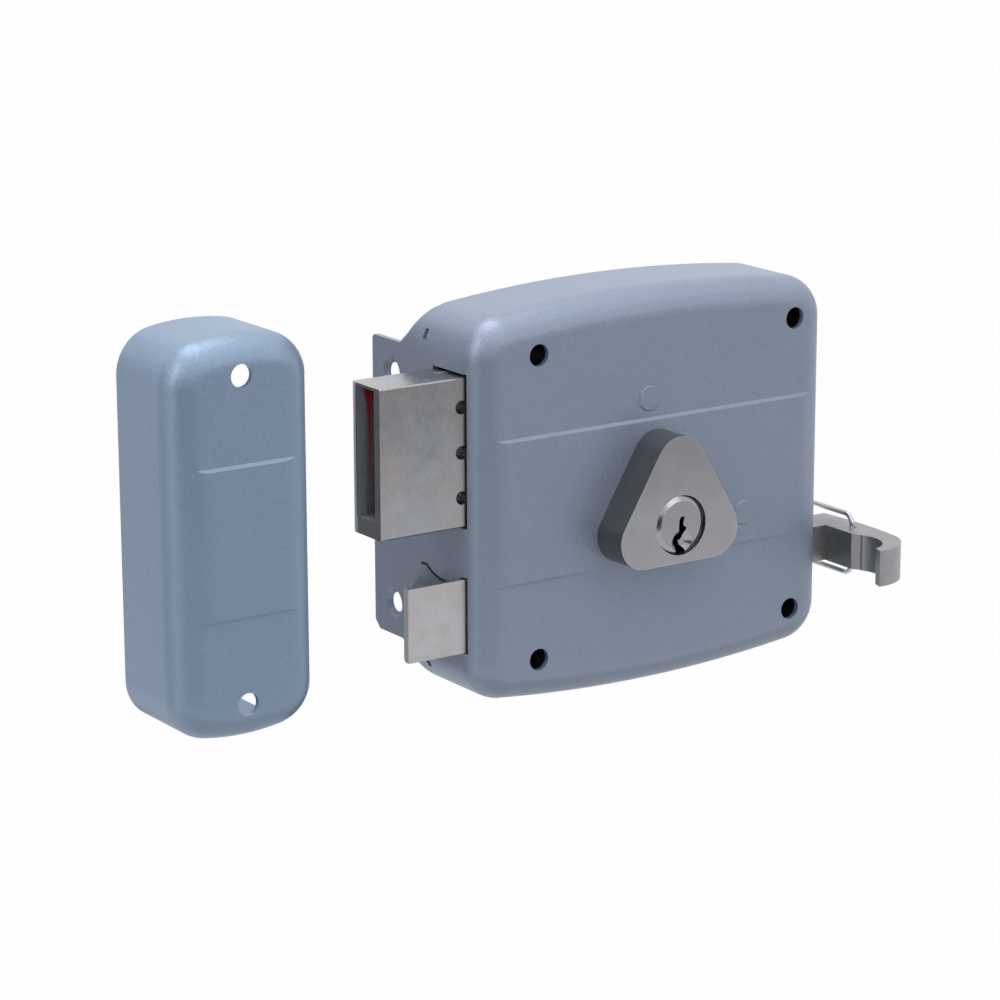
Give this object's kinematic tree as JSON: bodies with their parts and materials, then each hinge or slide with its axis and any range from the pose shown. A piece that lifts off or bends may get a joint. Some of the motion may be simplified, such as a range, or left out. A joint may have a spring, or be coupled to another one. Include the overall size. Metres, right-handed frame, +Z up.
{
  "type": "rim lock",
  "caption": "Surface-mounted rim lock with a thrown deadbolt, a bevelled spring latch, a keyed cylinder, a pull hook with a wire bail, and its separate staple.",
  "frame": {"origin": "middle of the four cover screws, on the face that lies on the door", "axes": "+X from the forend to the pull hook, +Y from the cover into the door, +Z up"},
  "size_m": [0.232, 0.0722, 0.1154],
  "materials": {
    "case_paint": "satin paint with a fine speckle",
    "staple_paint": "satin paint with a fine speckle",
    "stud_paint": "satin paint over riveted stud ends",
    "bolt_steel": "brushed, mottled",
    "latch_steel": "ground, slightly mottled",
    "hook_steel": "brushed",
    "zinc_plate": "dull zinc plate",
    "dark_steel": "blackened tube",
    "satin_nickel": "satin nickel plate",
    "plug_nickel": "polished rim, satin face",
    "pin_brass": "machined",
    "bright_wire": "bright drawn wire"
  },
  "bodies": {
    "case": {"case_cover": "case_paint", "base_plate": "zinc_plate", "screw_posts": "dark_steel", "guide_studs": "stud_paint", "stud_sleeves": "zinc_plate", "spring_bracket": "zinc_plate", "bracket_rivets": "zinc_plate", "latch_spring": "bolt_steel", "cylinder_body": "satin_nickel", "clamp_plate": "zinc_plate", "clamp_screws": "zinc_plate", "driver_pins": "pin_brass", "pin_springs": "bolt_steel"},
    "deadbolt": {"deadbolt_head": "bolt_steel", "deadbolt_tail": "zinc_plate", "deadbolt_rivets": "bolt_steel"},
    "plug": {"plug": "plug_nickel", "key_pins": "pin_brass", "drive_pinion": "pin_brass", "plug_clip": "bolt_steel"},
    "latch": {"latch_head": "latch_steel", "latch_tail": "zinc_plate", "latch_rivets": "latch_steel", "spring_rod": "bolt_steel", "pull_hook": "hook_steel", "hook_rivets": "hook_steel"},
    "bail": {"wire_bail": "bright_wire"},
    "staple": {"staple_shell": "staple_paint"}
  },
  "joints": [
    {"name": "deadbolt_slide", "type": "slide", "parent": "case", "child": "deadbolt", "axis": [1, 0, 0], "range_m": [0, 0.0262]},
    {"name": "plug_turn", "type": "hinge", "parent": "case", "child": "plug", "pos_m": [-0.0044, -0.0294, -0.008], "axis": [0, 1, 0], "range_deg": [0, 360]},
    {"name": "latch_slide", "type": "slide", "parent": "case", "child": "latch", "axis": [1, 0, 0], "range_m": [0, 0.0168], "stiffness_N_per_m": 600, "springref_m": -0.012, "deforming": ["latch_spring"]},
    {"name": "bail_swing", "type": "hinge", "parent": "latch", "child": "bail", "pos_m": [0.0708, -0.0246, -0.0288], "axis": [0, 0, -1], "range_deg": [-28, 160]},
    {"name": "staple_slide", "type": "slide", "parent": "case", "child": "staple", "axis": [1, 0, 0], "range_m": [0, 0.0475]}
  ],
  "couplings": [
    {"joint": "plug_turn", "follows": "deadbolt_slide", "rad_per_m": 239.81}
  ]
}
